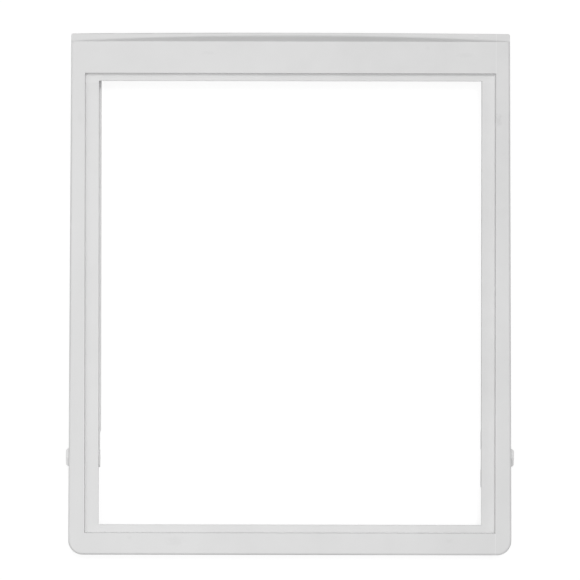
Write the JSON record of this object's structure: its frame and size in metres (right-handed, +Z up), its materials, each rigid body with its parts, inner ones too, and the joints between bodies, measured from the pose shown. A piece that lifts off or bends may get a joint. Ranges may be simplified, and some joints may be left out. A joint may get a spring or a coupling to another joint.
{
  "type": "refrigerator crisper cover frame",
  "caption": "White moulded rectangular frame with a stepped seat for a panel, a crowned front lip, a runner under each side and a small tab on each flank.",
  "frame": {"origin": "under the middle of the frame, in the plane of the runner soles", "axes": "+X to the right seen from the front, +Y from the front bar to the rear bar, +Z up"},
  "size_m": [0.4042, 0.4694, 0.0285],
  "materials": {
    "white_plastic": "satin moulded plastic"
  },
  "bodies": {
    "root": {"cover_frame": "white_plastic"}
  },
  "joints": []
}
